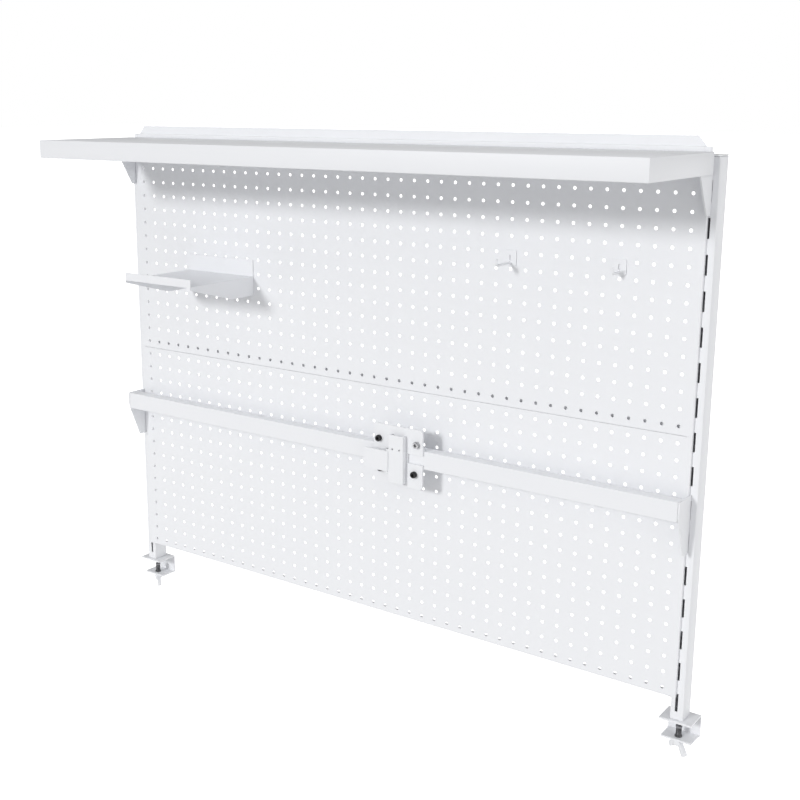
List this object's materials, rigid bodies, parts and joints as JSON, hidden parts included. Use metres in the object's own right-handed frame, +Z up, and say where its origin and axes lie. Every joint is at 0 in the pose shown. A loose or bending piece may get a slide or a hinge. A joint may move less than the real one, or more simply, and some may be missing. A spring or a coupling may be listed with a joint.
{
  "type": "pegboard display stand",
  "caption": "Desk-clamp stand with perforated steel panels, a top shelf, a rail with a sliding monitor mount, a small shelf and hooks.",
  "frame": {"origin": "on the desk top, under the clamps' upper plates, midway between the uprights, in the plane of the panels' front faces", "axes": "+X to the right seen from the front, +Y to the rear, +Z up"},
  "size_m": [1.1296, 0.257, 0.8954],
  "materials": {
    "white_powder_coat": "fine-textured satin powder coat",
    "white_plastic": "matt moulded",
    "black_oxide_steel": "black oxide",
    "dark_zinc_steel": "dark zinc",
    "bright_steel": "bright zinc"
  },
  "bodies": {
    "stand": {"clamp_insert_left": "dark_zinc_steel", "clamp_insert_right": "dark_zinc_steel", "clamp_jaw_left": "white_powder_coat", "clamp_jaw_right": "white_powder_coat", "panel_lower": "white_powder_coat", "panel_upper": "white_powder_coat", "top_cap_left": "white_plastic", "top_cap_right": "white_plastic", "upright_left": "white_powder_coat", "upright_right": "white_powder_coat"},
    "shelf": {"shelf_bracket_left": "white_powder_coat", "shelf_bracket_right": "white_powder_coat", "shelf_screw_left_front": "bright_steel", "shelf_screw_left_rear": "bright_steel", "shelf_screw_right_front": "bright_steel", "shelf_screw_right_rear": "bright_steel", "shelf_tray": "white_powder_coat"},
    "rail": {"monitor_rail": "white_powder_coat", "rail_bracket_left": "white_powder_coat", "rail_bracket_right": "white_powder_coat"},
    "mount": {"mount_bolt_lower_left": "black_oxide_steel", "mount_bolt_lower_right": "black_oxide_steel", "mount_bolt_upper_left": "black_oxide_steel", "mount_bolt_upper_right": "bright_steel", "mount_front_plate": "white_powder_coat", "mount_hinge_pin": "bright_steel", "mount_post": "white_powder_coat", "mount_saddle": "white_powder_coat"},
    "arm": {"mount_swing_arm": "white_powder_coat"},
    "small_shelf": {"small_shelf": "white_powder_coat"},
    "hook_long": {"hook_long": "white_powder_coat"},
    "hook_short": {"hook_short": "white_powder_coat"},
    "foot_left": {"clamp_foot_left": "dark_zinc_steel"},
    "screw_left": {"clamp_screw_left": "dark_zinc_steel", "wing_handle_left": "white_powder_coat"},
    "foot_right": {"clamp_foot_right": "dark_zinc_steel"},
    "screw_right": {"clamp_screw_right": "dark_zinc_steel", "wing_handle_right": "white_powder_coat"}
  },
  "joints": [
    {"name": "shelf_lift", "type": "slide", "parent": "stand", "child": "shelf", "axis": [0, 0, 1], "range_m": [0, 0.014]},
    {"name": "rail_lift", "type": "slide", "parent": "stand", "child": "rail", "axis": [0, 0, 1], "range_m": [0, 0.014]},
    {"name": "mount_slide", "type": "slide", "parent": "rail", "child": "mount", "axis": [1, 0, 0], "range_m": [-0.56, 0.41]},
    {"name": "arm_swing", "type": "hinge", "parent": "mount", "child": "arm", "pos_m": [0.062, -0.05, 0.3255], "axis": [0, 0, 1], "range_deg": [0, 90]},
    {"name": "small_shelf_pull", "type": "slide", "parent": "stand", "child": "small_shelf", "axis": [0, -1, 0], "range_m": [0, 0.03]},
    {"name": "hook_long_pull", "type": "slide", "parent": "stand", "child": "hook_long", "axis": [0, -1, 0], "range_m": [0, 0.03]},
    {"name": "hook_short_pull", "type": "slide", "parent": "stand", "child": "hook_short", "axis": [0, -1, 0], "range_m": [0, 0.03]},
    {"name": "foot_travel_left", "type": "slide", "parent": "stand", "child": "foot_left", "axis": [0, 0, 1], "range_m": [-0.011, 0.0016]},
    {"name": "screw_turn_left", "type": "hinge", "parent": "foot_left", "child": "screw_left", "pos_m": [-0.54, 0.02, -0.03], "axis": [0, 0, 1], "range_deg": [-3150, 430]},
    {"name": "foot_travel_right", "type": "slide", "parent": "stand", "child": "foot_right", "axis": [0, 0, 1], "range_m": [-0.011, 0.0016]},
    {"name": "screw_turn_right", "type": "hinge", "parent": "foot_right", "child": "screw_right", "pos_m": [0.54, 0.02, -0.03], "axis": [0, 0, 1], "range_deg": [-3150, 430]}
  ],
  "couplings": [
    {"joint": "foot_travel_left", "follows": "screw_turn_left", "m_per_rad": 0.00019894},
    {"joint": "foot_travel_right", "follows": "screw_turn_right", "m_per_rad": 0.00019894}
  ]
}
